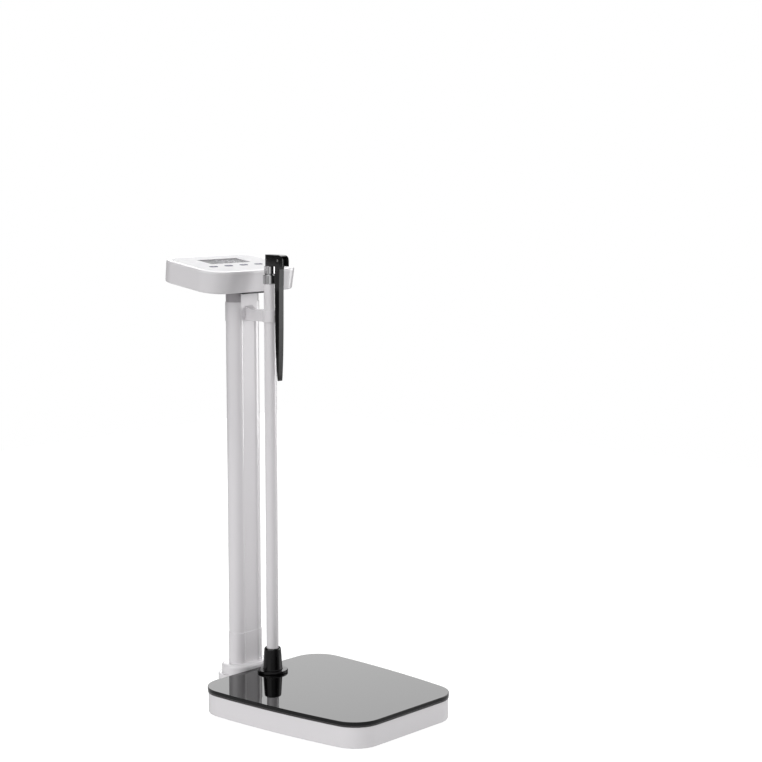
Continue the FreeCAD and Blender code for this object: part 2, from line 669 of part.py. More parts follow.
def outer_ferrule():
    """Chromed cap on the outer tube that guides the middle tube; the coupling rests on it."""
    spigot = OUTER_R - OUTER_WALL - 0.02
    guide = MIDDLE_R + SLIDE_FIT
    low = OUTER_TOP - FERRULE_PLUG
    top = FERRULE_TOP
    r = FERRULE_R
    profile = [(guide, low), (spigot, low), (spigot, OUTER_TOP), (r - 1, OUTER_TOP), (r, OUTER_TOP + 1),
               (r, top - 1), (r - 1, top), (guide, top)]
    save("outer_ferrule", turned(profile, 0, ROD_Y))


def glide(name, base, slider, fit):
    """Plastic cup pushed over the lower end of a moving tube."""
    floor = base - 10
    top = base + GLIDE_H
    profile = [(0.0, floor), (slider, floor), (slider, top), (fit, top), (fit, base), (0.0, base)]
    save(name, turned(profile, 0, ROD_Y))


def middle_stage():
    low = COUPLING_BOTTOM
    top = COUPLING_TOP
    grip = low + COUPLING_GRIP
    r = COUPLING_R
    fit = MIDDLE_R + 0.02
    guide = INNER_R + SLIDE_FIT
    save("middle_tube", tube(0, ROD_Y, MIDDLE_BOTTOM, grip, MIDDLE_R, MIDDLE_R - MIDDLE_WALL))
    profile = [(fit, low), (r - 2, low), (r, low + 3), (r, top - 1), (r - 1, top),
               (guide, top), (guide, grip), (fit, grip)]
    save("middle_coupling", turned(profile, 0, ROD_Y))
    glide("middle_glide", MIDDLE_BOTTOM, OUTER_R - OUTER_WALL - SLIDE_FIT, fit)


def inner_stage():
    save("inner_tube", tube(0, ROD_Y, INNER_BOTTOM, HEAD_BOTTOM + 14, INNER_R, INNER_R - INNER_WALL))
    glide("inner_glide", INNER_BOTTOM, MIDDLE_R - MIDDLE_WALL - SLIDE_FIT, INNER_R + 0.02)


def head_block():
    """Moulded head on the inner tube: two cheeks and a roof, open in front and below for the arm."""
    w = HEAD_HALF_W
    z0 = HEAD_BOTTOM
    z1 = HEAD_BOTTOM + HEAD_H
    front = ROD_Y - HEAD_FRONT
    body = post(0, ROD_Y, z0, z1, w).fuse(box(-w, w, front, ROD_Y, z0, z1)).removeSplitter()
    nose = [e for e in body.Edges if e.BoundBox.YMax < front + 0.01 and e.BoundBox.ZMin > z1 - 0.01]
    body = body.makeFillet(13.0, nose)
    slot = box(-SLOT_HALF_W, SLOT_HALF_W, front - 1, ROD_Y - SLOT_BACK, z0 - 1, z1 - 2.6)
    bore = post(0, ROD_Y, z0 - 1, z0 + 14.2, INNER_R + 0.02)
    pin_hole = x_cylinder(-w - 1, w + 1, ROD_Y - PIN_DY, PIN_Z, PIN_R + 0.02)
    save("head_block", body.cut([slot, bore, pin_hole]))
    pin = x_cylinder(-w - 0.3, w + 0.3, ROD_Y - PIN_DY, PIN_Z, PIN_R)
    save("head_pin", pin)


def arm_profile():
    """(distance below the pin, offset of the back edge, offset of the front edge)."""
    return ((60.0, 12.2, -1.6), (155.0, 11.7, -0.6), (195.0, 10.8, 0.3), (230.0, 9.8, 1.3),
            (262.0, 8.0, 2.4))


def measuring_arm():
    """Arm at rest hangs from the pin; its back edge is the measuring face when it is swung level."""
    y = ROD_Y - PIN_DY
    back = []
    front = []
    for along, rear, fore in arm_profile():
        back.append((y + rear, PIN_Z - along))
        front.append((y + fore, PIN_Z - along))
    tip = [(y + 6.6, PIN_Z - ARM_LENGTH), (y + 3.2, PIN_Z - ARM_LENGTH)]
    shoulder = [(y - 3.0, PIN_Z - 20), (y - HUB_R, PIN_Z)]
    outline = [(y + 12.4, PIN_Z + 1)] + back + tip + front[::-1] + shoulder
    blade = side_plate(outline, ARM_HALF_W)
    taper = []
    w = ARM_HALF_W
    low = PIN_Z - ARM_LENGTH - 1
    high = low + ARM_TAPER
    for sx in (-1, 1):
        corners = []
        side = ((w + 1, high), (w, high), (ARM_TIP_HALF_W, low), (w + 1, low))
        for x, z in side:
            corners.append(Vector(sx * x, y - 30, z))
        taper.append(Part.Face(Part.makePolygon(corners + corners[:1])).extrude(Vector(0, 60, 0)))
    hub = x_cylinder(-ARM_HALF_W, ARM_HALF_W, y, PIN_Z, HUB_R)
    arm = blade.cut(taper).fuse(hub).removeSplitter()
    bore = x_cylinder(-20, 20, y, PIN_Z, PIN_R + SLIDE_FIT)
    save("measuring_arm", arm.cut(bore))


def main():
    platform_shell()
    platform_bottom_plate()
    support_frame()
    edge_ring()
    glass_top()
    load_cells()
    levelling_feet()
    junction_board()
    bottom_screws()
    column()
    column_sleeve()
    plinth()
    column_anchor()
    collar_bracket()
    neck()
    head_plate()
    signal_cable()
    housing_shells()
    display_parts()
    keys()
    battery_door()
    battery_cells()
    power_socket()
    housing_screws()
    rod_socket()
    rod_boot()
    outer_tube()
    outer_ferrule()
    middle_stage()
    inner_stage()
    head_block()
    measuring_arm()


main()
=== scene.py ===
"""Looks of the physician scale: materials, printed scales, display, studio and camera.

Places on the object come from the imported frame, in metres; millimetres are written as n * MM.
"""
import json
import math

import bmesh
import bpy
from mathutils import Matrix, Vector

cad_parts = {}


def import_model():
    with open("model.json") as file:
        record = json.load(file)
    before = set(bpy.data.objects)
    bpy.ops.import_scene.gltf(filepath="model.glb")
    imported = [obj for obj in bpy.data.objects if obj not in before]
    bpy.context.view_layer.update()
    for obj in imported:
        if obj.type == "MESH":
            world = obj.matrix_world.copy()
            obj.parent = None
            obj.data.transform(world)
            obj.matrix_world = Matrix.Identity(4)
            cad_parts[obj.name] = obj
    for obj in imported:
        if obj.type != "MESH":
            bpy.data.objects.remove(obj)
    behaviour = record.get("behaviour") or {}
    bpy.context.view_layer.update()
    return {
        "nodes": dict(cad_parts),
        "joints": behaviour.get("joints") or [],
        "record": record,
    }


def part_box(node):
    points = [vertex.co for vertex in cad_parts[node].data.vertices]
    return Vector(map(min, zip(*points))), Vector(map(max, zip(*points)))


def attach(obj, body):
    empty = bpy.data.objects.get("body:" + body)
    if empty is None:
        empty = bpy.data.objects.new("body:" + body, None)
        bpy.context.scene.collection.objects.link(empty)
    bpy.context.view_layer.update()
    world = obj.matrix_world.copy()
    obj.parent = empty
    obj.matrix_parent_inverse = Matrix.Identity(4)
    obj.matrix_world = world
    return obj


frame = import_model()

MM = 0.001
NODES = frame["nodes"]
SLOT_OF = {part["node"]: part["material_slot"] for part in frame["record"]["subparts"]}


# ---- places read from the frame -------------------------------------------------------------

def middle(node):
    low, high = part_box(node)
    return (low + high) / 2


def extent(node, origin, axis):
    """Least and greatest distance of a node's points from origin along axis."""
    along = [(vert.co - origin).dot(axis) for vert in NODES[node].data.vertices]
    return min(along), max(along)


def joint(name):
    return next(j for j in frame["joints"] if j["name"] == name)


ROD = middle("outer_tube")
INNER_R = (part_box("inner_tube")[1].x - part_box("inner_tube")[0].x) / 2
MIDDLE_R = (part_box("middle_tube")[1].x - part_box("middle_tube")[0].x) / 2
GLASS_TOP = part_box("glass_top")[1].z
COUPLING_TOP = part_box("middle_coupling")[1].z
FERRULE_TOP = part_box("outer_ferrule")[1].z
STAGE_TRAVEL = joint("middle_slide")["range_m"][1]
X_AXIS = Vector((1, 0, 0))
HOUSING_UP = -Vector(joint("key_1_press")["axis"])
HOUSING_BACK = HOUSING_UP.cross(X_AXIS)
WINDOW = middle("display_window")
PANEL = WINDOW + HOUSING_UP * extent("housing_top", WINDOW, HOUSING_UP)[1]
KEYS = sorted(name for name in NODES if name.startswith("key_"))

# print thickness, and the clearance between a printed layer and the face under it
INK_T = 0.04 * MM
INK_LIFT = 0.01 * MM

# label sheet on the display housing
OVERLAY_T = 0.16 * MM
OVERLAY_MARGIN = 11 * MM
OVERLAY_CORNER = 36 * MM
WINDOW_GAP = 0.3 * MM
WINDOW_CORNER = 1.5 * MM
KEY_GAP = 0.5 * MM
ROUND_END = 0.99        # corner radius of a round-ended outline over its half width
WELD = 0.002 * MM

# height scale on the moving tubes: one tick every half centimetre
TICKS_PER_METRE = 200
TICK_HALF_T = 0.15 * MM
TICK_LENGTHS = (4.2 * MM, 3.2 * MM, 1.8 * MM)      # every 5 cm, every 1 cm, every 0.5 cm
TICK_START = 0.68       # left end of the ticks, tube radii to the left of the middle
NUMBER_HEIGHT = 2.6 * MM
NUMBER_GAP = 0.4 * MM
DIGIT_ADVANCE = 0.74    # pitch of the digits over their height
STRIP_REACH = 1.3       # artwork's half width, in tube radii
STRIP_WIDTH = 0.6 * MM

# display reading: text, right end, middle height, digit width and height, mm from the window's middle
READING = (("0000", 44, 6, 10, 20), ("0000", 46, -15.5, 5, 8.5), ("000", -12, -15.5, 5, 8.5))
SEGMENT_PITCH = 1.7     # pitch of the digits over their width
SEGMENT_HALF_T = 0.07   # half thickness of a bar over the digit's height
SEGMENT_FILL = 0.92     # bar length over the space it has
DOT_SHIFT = 0.85        # decimal point's place over the digit's width
DOT_R = 0.9 * MM
DOT_CORNER = 0.85 * MM

SIGN_LINE = 0.5 * MM


# ---- node helpers ---------------------------------------------------------------------------

class Shader:
    """A material with one Principled shader, and short ways to add nodes to it."""

    def __init__(self, name, **values):
        self.material = bpy.data.materials.new(name)
        self.material.use_nodes = True
        self.tree = self.material.node_tree
        self.main = self.tree.nodes["Principled BSDF"]
        self.place = self.add("ShaderNodeTexCoord").outputs["Object"]
        for key, value in values.items():
            self.main.inputs[key.replace("_", " ")].default_value = value

    def add(self, kind, **settings):
        node = self.tree.nodes.new(kind)
        for key, value in settings.items():
            if key in node.inputs:
                self.feed(node.inputs[key], value)
            else:
                setattr(node, key, value)
        return node

    def feed(self, socket, value):
        if isinstance(value, bpy.types.NodeSocket):
            self.tree.links.new(value, socket)
        else:
            socket.default_value = value

    def stretched(self, x, y, z):
        """Object coordinates multiplied per axis."""
        node = self.add("ShaderNodeMapping", Vector=self.place)
        node.inputs["Scale"].default_value = (x, y, z)
        return node.outputs[0]

    def noise(self, scale, detail=3.0, roughness=0.5, vector=None):
        node = self.add("ShaderNodeTexNoise", Scale=scale, Detail=detail, Roughness=roughness,
                        Vector=vector or self.place)
        return node.outputs["Fac"]

    def spread(self, value, low, high, start=0.3, stop=0.7):
        """Maps value from start..stop to low..high."""
        node = self.add("ShaderNodeMapRange", Value=value)
        for key, number in zip(("From Min", "From Max", "To Min", "To Max"), (start, stop, low, high)):
            node.inputs[key].default_value = number
        return node.outputs[0]

    def math(self, operation, a, b=0.0):
        node = self.add("ShaderNodeMath", operation=operation)
        self.feed(node.inputs[0], a)
        self.feed(node.inputs[1], b)
        return node.outputs[0]

    def mix(self, factor, a, b):
        node = self.add("ShaderNodeMix", data_type="RGBA")
        self.feed(node.inputs[0], factor)
        self.feed(node.inputs[6], a)
        self.feed(node.inputs[7], b)
        return node.outputs[2]

    def colour(self, value):
        self.feed(self.main.inputs["Base Color"], value)

    def rough(self, value):
        self.feed(self.main.inputs["Roughness"], value)

    def bump(self, height, strength, distance):
        node = self.add("ShaderNodeBump", Strength=strength, Distance=distance, Height=height)
        self.tree.links.new(node.outputs[0], self.main.inputs["Normal"])

    def two_tone(self, base, change, scale):
        """Base colour with slow cloudy variation of plus and minus change."""
        dark = [c * (1 - change) for c in base] + [1]
        light = [min(1, c * (1 + change)) for c in base] + [1]
        cloud = self.spread(self.noise(scale), 0, 1)
        self.colour(self.mix(cloud, dark, light))


# ---- materials ------------------------------------------------------------------------------

def white_paint():
    """Gloss powder coat: faint orange peel, slight dust variation in the gloss."""
    s = Shader("white_paint", Specular_IOR_Level=0.5, IOR=1.5, Coat_Weight=1.0, Coat_Roughness=0.05)
    s.two_tone((0.770, 0.750, 0.770), 0.004, 9)
    s.rough(s.spread(s.noise(45, 4), 0.34, 0.38, 0, 1))
    s.bump(s.noise(650, 2), 0.05, 0.00010)
    return s.material


def white_plastic():
    """Injection-moulded ABS with a fine satin grain."""
    s = Shader("white_plastic", Specular_IOR_Level=0.5, IOR=1.48, Coat_Weight=0.9, Coat_Roughness=0.07)
    s.two_tone((0.780, 0.762, 0.780), 0.005, 14)
    s.rough(s.spread(s.noise(70, 4), 0.34, 0.40, 0, 1))
    s.bump(s.noise(1500, 3), 0.04, 0.00006)
    return s.material


def black_glass():
    """Black-backed tempered glass with a trace of smudging."""
    s = Shader("black_glass", Specular_IOR_Level=0.5, IOR=1.40)
    s.two_tone((0.0015, 0.0014, 0.0016), 0.2, 6)
    smudge = s.spread(s.noise(11, 6, 0.65), 0.0, 1.0, 0.45, 0.8)
    s.rough(s.spread(smudge, 0.012, 0.05, 0, 1))
    return s.material


def dark_plastic():
    s = Shader("dark_plastic", Specular_IOR_Level=0.45)
    s.two_tone((0.038, 0.036, 0.038), 0.06, 20)
    s.rough(s.spread(s.noise(90, 4), 0.3, 0.42))
    s.bump(s.noise(1200, 3), 0.12, 0.0001)
    return s.material


def neck_shade_grey():
    """Grey of the neck, painted shade: the grey stands for the shade that the housing above casts on it.
    """
    s = Shader("neck_shade_grey", Specular_IOR_Level=0.45)
    # painted shade: this grey base colour darkens the neck as the shade under the housing would
    s.two_tone((0.42, 0.40, 0.42), 0.03, 20)
    s.rough(s.spread(s.noise(90, 4), 0.35, 0.45))
    s.bump(s.noise(1200, 3), 0.12, 0.0001)
    return s.material


def primer_steel():
    s = Shader("primer_steel", Metallic=0.2)
    s.two_tone((0.12, 0.125, 0.13), 0.15, 12)
    s.rough(s.spread(s.noise(60, 5), 0.45, 0.65))
    s.bump(s.noise(500, 4), 0.25, 0.0002)
    return s.material


def cell_aluminium():
    s = Shader("cell_aluminium", Metallic=1.0)
    brushed = s.noise(300, 3, 0.6, s.stretched(1, 0.05, 1))
    s.two_tone((0.70, 0.71, 0.72), 0.04, 40)
    s.rough(s.spread(brushed, 0.28, 0.45))
    s.bump(brushed, 0.15, 0.00005)
    return s.material


def zinc_steel():
    s = Shader("zinc_steel", Metallic=1.0)
    s.two_tone((0.62, 0.62, 0.60), 0.08, 60)
    s.rough(s.spread(s.noise(120, 4), 0.22, 0.4))
    s.bump(s.noise(900, 3), 0.1, 0.00005)
    return s.material


def foot_rubber():
    s = Shader("foot_rubber", Specular_IOR_Level=0.3)
    s.two_tone((0.022, 0.022, 0.023), 0.2, 50)
    s.rough(s.spread(s.noise(150, 4), 0.6, 0.8))
    s.bump(s.noise(1800, 4), 0.3, 0.0001)
    return s.material


def chrome():
    """Bright chrome with fine drawn lines along the tube."""
    s = Shader("chrome", Metallic=1.0)
    s.two_tone((0.58, 0.575, 0.585), 0.015, 12)
    drawn = s.noise(900, 2, 0.5, s.stretched(1, 1, 0.01))
    s.rough(s.spread(drawn, 0.06, 0.13))
    s.bump(drawn, 0.04, 0.00002)
    return s.material


def glide_plastic():
    s = Shader("glide_plastic", Specular_IOR_Level=0.4, Subsurface_Weight=0.1)
    s.two_tone((0.72, 0.71, 0.66), 0.03, 60)
    s.rough(s.spread(s.noise(100), 0.4, 0.55))
    return s.material


def black_plastic():
    """Satin black moulding with fine spark-eroded grain."""
    s = Shader("black_plastic", Specular_IOR_Level=0.5)
    s.two_tone((0.006, 0.006, 0.0062), 0.15, 30)
    s.rough(s.spread(s.noise(80, 4), 0.14, 0.20))
    s.bump(s.noise(1600, 3), 0.06, 0.00006)
    return s.material


def boot_rubber():
    """Moulded rubber of the rod's boot, rubbed shiny."""
    s = Shader("boot_rubber", Specular_IOR_Level=0.28)
    s.two_tone((0.0022, 0.0020, 0.0024), 0.2, 30)
    s.rough(s.spread(s.noise(70, 4), 0.16, 0.24))
    s.bump(s.noise(1400, 3), 0.08, 0.00006)
    return s.material


def board():
    s = Shader("board", Specular_IOR_Level=0.5)
    traces = s.spread(s.noise(180, 0), 0, 1, 0.49, 0.51)
    s.colour(s.mix(traces, (0.02, 0.13, 0.06, 1), (0.03, 0.18, 0.08, 1)))
    s.rough(s.spread(s.noise(120), 0.3, 0.45))
    return s.material


def lcd():
    """Grey liquid-crystal glass."""
    s = Shader("lcd", Specular_IOR_Level=0.02)
    s.two_tone((0.35, 0.35, 0.355), 0.03, 30)
    s.rough(s.spread(s.noise(60), 0.45, 0.6))
    return s.material


def clear_lens():
    s = Shader("clear_lens", Transmission_Weight=1.0, IOR=1.01, Specular_IOR_Level=0.3)
    s.two_tone((0.96, 0.96, 0.97), 0.005, 20)
    s.rough(s.spread(s.noise(30, 4), 0.01, 0.03))
    return s.material


def key_plastic():
    s = Shader("key_plastic", Specular_IOR_Level=0.12)
    s.two_tone((0.16, 0.16, 0.215), 0.04, 80)
    s.rough(s.spread(s.noise(150, 4), 0.5, 0.62))
    s.bump(s.noise(2200, 3), 0.15, 0.00006)
    return s.material


def cell_sleeve():
    s = Shader("cell_sleeve", Specular_IOR_Level=0.5)
    bands = s.add("ShaderNodeSeparateXYZ", Vector=s.place).outputs[0]
    ends = s.spread(s.math("PINGPONG", bands, 22.7 * MM), 0, 1, 4 * MM, 4.3 * MM)
    s.colour(s.mix(ends, (0.55, 0.30, 0.10, 1), (0.02, 0.025, 0.035, 1)))
    s.rough(s.spread(s.noise(90), 0.25, 0.35))
    return s.material


def cable_sheath():
    s = Shader("cable_sheath", Specular_IOR_Level=0.4)
    s.two_tone((0.10, 0.10, 0.105), 0.1, 90)
    s.rough(s.spread(s.noise(200), 0.4, 0.55))
    return s.material


def ink(name, colour):
    """Screen-printed ink, a little uneven."""
    s = Shader(name, Specular_IOR_Level=0.4)
    s.two_tone(colour, 0.1, 300)
    s.rough(s.spread(s.noise(400), 0.35, 0.5))
    return s.material


def label_sheet():
    """Satin polyester label with a fine print texture."""
    s = Shader("label_sheet", Specular_IOR_Level=0.3)
    s.two_tone((0.83, 0.825, 0.84), 0.006, 16)
    s.rough(s.spread(s.noise(60, 4), 0.45, 0.55))
    s.bump(s.noise(2400, 2), 0.05, 0.00005)
    return s.material


def segment_ink():
    """Lit segments of the display, lighter than its ground."""
    s = Shader("segment_ink", Specular_IOR_Level=0.02)
    s.two_tone((0.74, 0.74, 0.75), 0.05, 60)
    s.rough(s.spread(s.noise(90), 0.3, 0.45))
    return s.material


def dress():
    """Gives every CAD node the finish of its material slot."""
    finishes = {
        "white_paint": white_paint(), "white_plastic": white_plastic(), "black_glass": black_glass(),
        "dark_plastic": dark_plastic(), "steel": primer_steel(), "cell_aluminium": cell_aluminium(),
        "zinc_steel": zinc_steel(), "foot_rubber": foot_rubber(), "chrome": chrome(),
        "glide_plastic": glide_plastic(), "black_plastic": black_plastic(), "board": board(),
        "lcd": lcd(), "clear_lens": clear_lens(), "key_plastic": key_plastic(),
        "cell_sleeve": cell_sleeve(), "cable_sheath": cable_sheath(), "socket_plastic": foot_rubber(),
    }
    # the neck's grey is painted shade from the housing above it
    own = {"neck": neck_shade_grey(), "outer_tube": finishes["white_paint"], "rod_boot": boot_rubber()}
    for name, node in NODES.items():
        finish = own.get(name, finishes[SLOT_OF[name]])
        for slot in node.material_slots:
            slot.material = finish


# ---- made pieces ----------------------------------------------------------------------------

def add_piece(name, art, material, body):
    """Turns a bmesh into a piece that rides on a body."""
    mesh = bpy.data.meshes.new(name)
    bmesh.ops.recalc_face_normals(art, faces=art.faces)
    art.to_mesh(mesh)
    art.free()
    mesh.materials.append(material)
    piece = bpy.data.objects.new(name, mesh)
    bpy.context.scene.collection.objects.link(piece)
    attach(piece, body)


def raised_outline(art, points, thickness):
    """Flat polygon in the artwork's own X and Y, given a thickness along Z."""
    face = art.faces.new([art.verts.new((x, y, 0)) for x, y in points])
    made = bmesh.ops.extrude_face_region(art, geom=[face])
    for item in made["geom"]:
        if isinstance(item, bmesh.types.BMVert):
            item.co.z += thickness


def digit_shapes():
    """One extruded mesh for each digit, 1 unit high, to be copied."""
    shapes = {}
    for digit in "0123456789":
        text = bpy.data.curves.new("digit", "FONT")
        text.body = digit
        text.extrude = 0.5
        text.resolution_u = 3
        written = bpy.data.objects.new("digit", text)
        mesh = bpy.data.meshes.new_from_object(written)
        low = min(v.co.x for v in mesh.vertices)
        high = max(v.co.x for v in mesh.vertices)
        tall = max(v.co.y for v in mesh.vertices)
        points = [((v.co.x - (low + high) / 2) / tall, v.co.y / tall - 0.5, v.co.z) for v in mesh.vertices]
        shapes[digit] = (points, [list(face.vertices) for face in mesh.polygons])
        bpy.data.objects.remove(written)
    return shapes


def write_number(art, shapes, text, x, y, height, thickness):
    """Digits side by side from x, their middles at y."""
    advance = DIGIT_ADVANCE * height
    for place, digit in enumerate(text):
        points, faces = shapes[digit]
        middle_x = x + (place + 0.5) * advance
        verts = [art.verts.new((middle_x + px * height, y + py * height, pz * thickness))
                 for px, py, pz in points]
        for face in faces:
            art.faces.new([verts[i] for i in face])


def cut_into_strips(art, reach, step):
    """Adds edges along Y so that flat artwork can be rolled smoothly."""
    count = math.ceil(reach / step)
    for i in range(-count, count + 1):
        everything = art.verts[:] + art.edges[:] + art.faces[:]
        bmesh.ops.bisect_plane(art, geom=everything, plane_co=(i * step, 0, 0), plane_no=(1, 0, 0))


def roll_onto_tube(art, radius):
    """Rolls artwork round the front of the rod: X goes round it, Y is the height, Z points out."""
    for vert in art.verts:
        angle = vert.co.x / radius
        out = radius + vert.co.z
        vert.co = Vector((ROD.x + out * math.sin(angle), ROD.y - out * math.cos(angle), vert.co.y))


def tick_length(half_cm):
    every_5_cm, every_cm, every_half_cm = TICK_LENGTHS
    if half_cm % 10 == 0:
        return every_5_cm
    return every_cm if half_cm % 2 == 0 else every_half_cm


def height_scale(name, body, radius, read_at, first_height, shapes, material):
    """Printed centimetre scale on a moving tube, read at the edge of the tube below it."""
    art = bmesh.new()
    first = math.ceil(first_height * TICKS_PER_METRE)
    last = math.floor((first_height + STAGE_TRAVEL) * TICKS_PER_METRE)
    left = -TICK_START * radius
    for half_cm in range(first, last + 1):
        z = read_at - (half_cm / TICKS_PER_METRE - first_height)
        right = left + tick_length(half_cm)
        low = z - TICK_HALF_T
        high = z + TICK_HALF_T
        raised_outline(art, [(left, low), (right, low), (right, high), (left, high)], INK_T)
        if half_cm % 2 == 0:
            write_number(art, shapes, str(half_cm // 2), right + NUMBER_GAP, z, NUMBER_HEIGHT, INK_T)
    cut_into_strips(art, STRIP_REACH * radius, STRIP_WIDTH)
    roll_onto_tube(art, radius)
    add_piece(name, art, material, body)


def on_panel(art, lift):
    """Moves artwork (X across, Y to the back) onto the housing's top face, lift above it."""
    for vert in art.verts:
        vert.co = PANEL + X_AXIS * vert.co.x + HOUSING_BACK * vert.co.y + HOUSING_UP * (vert.co.z + lift)


def rounded_outline(x, y, half_width, half_depth, radius, steps=10):
    """Points of a rectangle with round corners, steps to each corner."""
    points = []
    for quarter in range(4):
        sx = 1 if quarter in (0, 3) else -1
        sy = 1 if quarter in (0, 1) else -1
        for i in range(steps + 1):
            angle = math.pi / 2 * (quarter + i / steps)
            px = x + sx * (half_width - radius) + radius * math.cos(angle)
            py = y + sy * (half_depth - radius) + radius * math.sin(angle)
            points.append((px, py))
    return points


def opening(node, gap):
    """Rounded outline of a node as seen from above the panel, grown by gap."""
    left, right = extent(node, PANEL, X_AXIS)
    near, far = extent(node, PANEL, HOUSING_BACK)
    half_w = (right - left) / 2 + gap
    half_d = (far - near) / 2 + gap
    radius = half_d * ROUND_END if node.startswith("key") else WINDOW_CORNER
    return rounded_outline((left + right) / 2, (near + far) / 2, half_w, half_d, radius)


def panel_overlay(material):
    """Printed label sheet that lies round the window and the keys."""
    left, right = extent("housing_top", PANEL, X_AXIS)
    near, far = extent("housing_top", PANEL, HOUSING_BACK)
    half_w = (right - left) / 2 - OVERLAY_MARGIN
    half_d = (far - near) / 2 - OVERLAY_MARGIN
    outlines = [rounded_outline(0, (near + far) / 2, half_w, half_d, OVERLAY_CORNER)]
    outlines.append(opening("display_window", WINDOW_GAP))
    outlines += [opening(key, KEY_GAP) for key in KEYS]
    curve = bpy.data.curves.new("overlay", "CURVE")
    curve.dimensions = "2D"
    curve.fill_mode = "BOTH"
    curve.extrude = OVERLAY_T / 2
    for outline in outlines:
        spline = curve.splines.new("POLY")
        spline.points.add(len(outline) - 1)
        for point, (x, y) in zip(spline.points, outline):
            point.co = (x, y, 0, 1)
        spline.use_cyclic_u = True
    drawn = bpy.data.objects.new("overlay", curve)
    art = bmesh.new()
    art.from_mesh(bpy.data.meshes.new_from_object(drawn))
    bpy.data.objects.remove(drawn)
    bmesh.ops.remove_doubles(art, verts=art.verts, dist=WELD)
    on_panel(art, OVERLAY_T / 2 + INK_LIFT)
    add_piece("panel_overlay", art, material, "stand")


# which of the seven bars each character lights: top, upper left, upper right, middle, lower left,
# lower right, bottom
SEGMENTS = {"0": "1110111", "1": "0010010", "2": "1011101", "3": "1011011", "4": "0111010",
            "5": "1101011", "6": "1101111", "7": "1010010", "8": "1111111", "9": "1111011"}


def bar(art, x, y, half_length, half_width, upright):
    """One pointed bar of a seven-segment digit."""
    reach = half_length - half_width
    points = [(-half_length, 0), (-reach, -half_width), (reach, -half_width), (half_length, 0),
              (reach, half_width), (-reach, half_width)]
    if upright:
        points = [(-py, px) for px, py in points]
    raised_outline(art, [(x + px, y + py) for px, py in points], INK_T)


def segment_digit(art, character, x, y, width, height):
    """The lit bars of one seven-segment digit, with its middle at x, y."""
    lit = SEGMENTS[character]
    half = width / 2
    quarter = height / 4
    thick = SEGMENT_HALF_T * height
    places = ((0, 2, False), (-1, 1, True), (1, 1, True), (0, 0, False), (-1, -1, True), (1, -1, True),
              (0, -2, False))
    for flag, (across, up, upright) in zip(lit, places):
        if flag == "1":
            length = quarter if upright else half
            bar(art, x + across * half, y + up * quarter, length * SEGMENT_FILL, thick, upright)


def display_reading(material):
    """Idle reading of the display: a large weight line and a smaller height line."""
    art = bmesh.new()
    for text, right, y, width, height in READING:
        for place, character in enumerate(text):
            x = right - place * width * SEGMENT_PITCH
            segment_digit(art, character, x * MM, y * MM, width * MM, height * MM)
        dot_x = (right - DOT_SHIFT * width) * MM
        dot_y = (y - height / 2) * MM
        raised_outline(art, rounded_outline(dot_x, dot_y, DOT_R, DOT_R, DOT_CORNER, 3), INK_T)
    on_panel(art, extent("lcd_panel", PANEL, HOUSING_UP)[1] + INK_LIFT)
    add_piece("display_segments", art, material, "stand")


def oval_outline(x, y, half_width, half_depth):
    return rounded_outline(x, y, half_width, half_depth, half_width * ROUND_END, 8)


def outline_ring(art, x, y, half_width, half_depth):
    """Raised oval line, such as the sign for zero."""
    outer = oval_outline(x, y, half_width, half_depth)
    inner = oval_outline(x, y, half_width - SIGN_LINE, half_depth - SIGN_LINE)
    loops = []
    for points, z in ((outer, 0), (outer, INK_T), (inner, INK_T), (inner, 0)):
        loops.append([art.verts.new((px, py, z)) for px, py in points])
    count = len(outer)
    for a, b in zip(loops, loops[1:] + loops[:1]):
        for i in range(count):
            k = (i + 1) % count
            art.faces.new((a[i], a[k], b[k], b[i]))


def power_sign(art, x, y):
    """Ring with a short stroke in it."""
    outline_ring(art, x, y, 2.3 * MM, 2.3 * MM)
    raised_outline(art, rounded_outline(x, y, 0.25 * MM, 1.0 * MM, 0.2 * MM, 2), INK_T)


def zero_sign(art, x, y):
    outline_ring(art, x, y, 1.6 * MM, 2.4 * MM)


def hold_sign(art, x, y):
    """Two upright strokes."""
    for side in (-1.3 * MM, 1.3 * MM):
        raised_outline(art, rounded_outline(x + side, y, 0.5 * MM, 2.2 * MM, 0.3 * MM, 2), INK_T)


def height_sign(art, x, y):
    """Two triangles that point away from each other."""
    for way in (-1, 1):
        foot = y + way * 0.8 * MM
        wide = [(x - way * 1.7 * MM, foot), (x + way * 1.7 * MM, foot)]
        raised_outline(art, [(x, y + way * 3.2 * MM)] + wide, INK_T)


def key_symbols(material):
    """A small printed sign on each key."""
    signs = (power_sign, zero_sign, hold_sign, height_sign)
    for number, (key, draw_sign) in enumerate(zip(KEYS, signs), 1):
        left, right = extent(key, PANEL, X_AXIS)
        near, far = extent(key, PANEL, HOUSING_BACK)
        art = bmesh.new()
        draw_sign(art, (left + right) / 2, (near + far) / 2)
        on_panel(art, extent(key, PANEL, HOUSING_UP)[1] + INK_LIFT)
        add_piece("key_symbol_%d" % number, art, material, key)


def details():
    """Everything printed or shown that the CAD model leaves out."""
    black_ink = ink("black_ink", (0.012, 0.012, 0.013))
    white_ink = ink("white_ink", (0.75, 0.75, 0.77))
    shapes = digit_shapes()
    pin = middle("head_pin")
    measuring_face = pin.z - (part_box("measuring_arm")[1].y - pin.y)
    lowest = measuring_face - GLASS_TOP
    next_stage = lowest + STAGE_TRAVEL
    height_scale("inner_scale", "inner_stage", INNER_R, COUPLING_TOP, lowest, shapes, black_ink)
    height_scale("middle_scale", "middle_stage", MIDDLE_R, FERRULE_TOP, next_stage, shapes, black_ink)
    panel_overlay(label_sheet())
    display_reading(segment_ink())
    key_symbols(white_ink)


# ---- studio ---------------------------------------------------------------------------------

